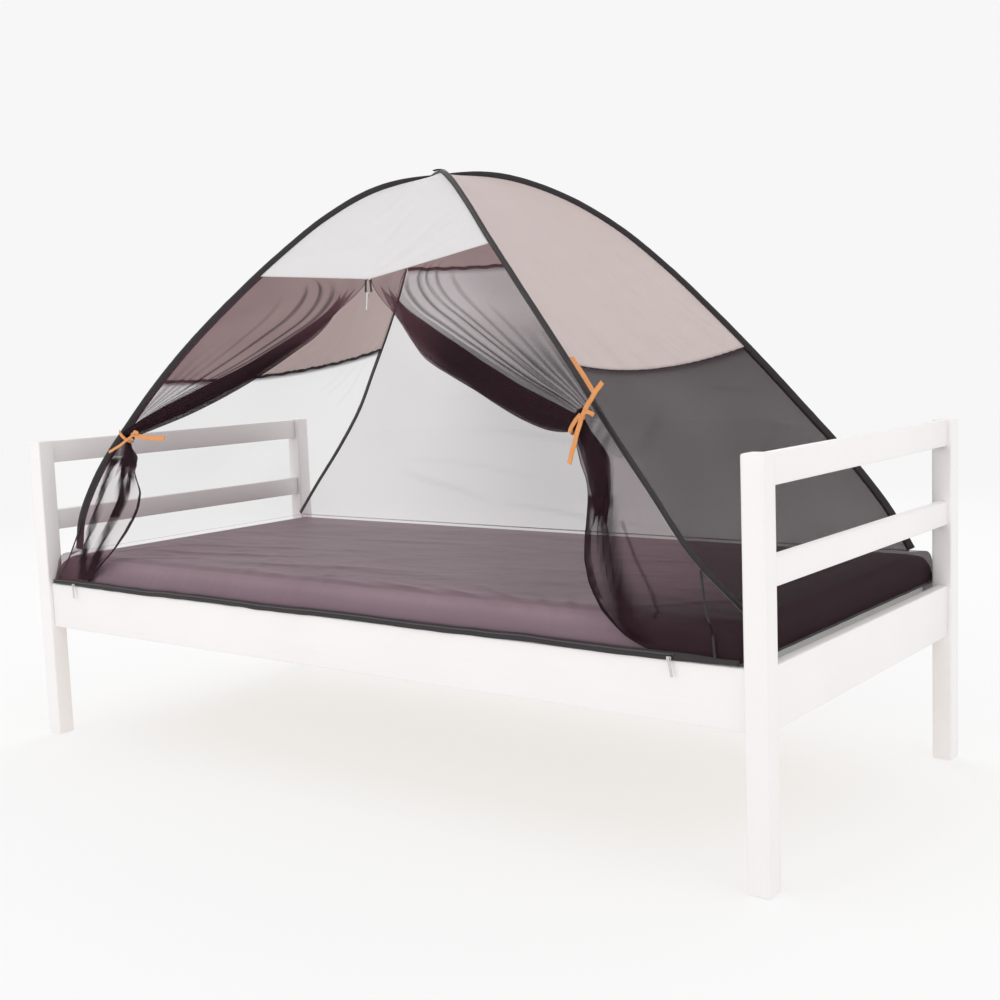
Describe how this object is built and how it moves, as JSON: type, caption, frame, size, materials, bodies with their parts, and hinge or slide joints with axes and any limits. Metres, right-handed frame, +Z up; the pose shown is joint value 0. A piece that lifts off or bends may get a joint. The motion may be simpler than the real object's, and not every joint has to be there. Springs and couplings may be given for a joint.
{
  "type": "pop-up mosquito net tent on a single bed with its mattress",
  "caption": "Two crossing sprung hoops carry roof panels and fine mesh walls over a fitted floor cloth on a mattress; both door leaves are tied back. Plain painted single bed below.",
  "frame": {"origin": "middle of the bed on the floor", "axes": "+X along the bed towards the end whose hoop leg carries the tab, +Y from the open door to the back, +Z up"},
  "size_m": [2.08, 0.9652, 1.3903],
  "materials": {
    "painted_wood": "satin white paint",
    "base_wood": "plain",
    "mattress_cover": "woven cover",
    "floor_fabric": "smooth polyester with a soft sheen",
    "roof_white": "thin plain-weave polyester",
    "roof_beige": "thin plain-weave polyester",
    "net_black": "fine mesh, seen through",
    "channel_black": "binding tape",
    "orange_tape": "woven tape",
    "zip_metal": "cast zip slider"
  },
  "bodies": {
    "root": {"post_front_left": "painted_wood", "post_front_right": "painted_wood", "post_back_left": "painted_wood", "post_back_right": "painted_wood", "side_rail_front": "painted_wood", "side_rail_back": "painted_wood", "end_board_left": "painted_wood", "end_board_right": "painted_wood", "end_rail_mid_left": "painted_wood", "end_rail_mid_right": "painted_wood", "end_rail_top_left": "painted_wood", "end_rail_top_right": "painted_wood", "bed_base": "base_wood", "mattress": "mattress_cover", "floor_cloth": "floor_fabric", "roof_front": "roof_white", "roof_back": "roof_beige", "roof_left": "roof_beige", "roof_right": "roof_beige", "net_back": "net_black", "net_left": "net_black", "net_right": "net_black", "door_leaf_left": "net_black", "door_leaf_right": "net_black", "hoop_sleeve_a": "channel_black", "hoop_sleeve_b": "channel_black", "crown_wrap": "channel_black", "hem_piping": "channel_black", "door_zip_band": "channel_black", "top_zip_tape_left": "channel_black", "top_zip_tape_right": "channel_black", "tie_left": "orange_tape", "tie_right": "orange_tape", "side_tab": "orange_tape", "zip_slider_left": "zip_metal", "zip_slider_right": "zip_metal", "zip_slider_top": "zip_metal"}
  },
  "joints": []
}
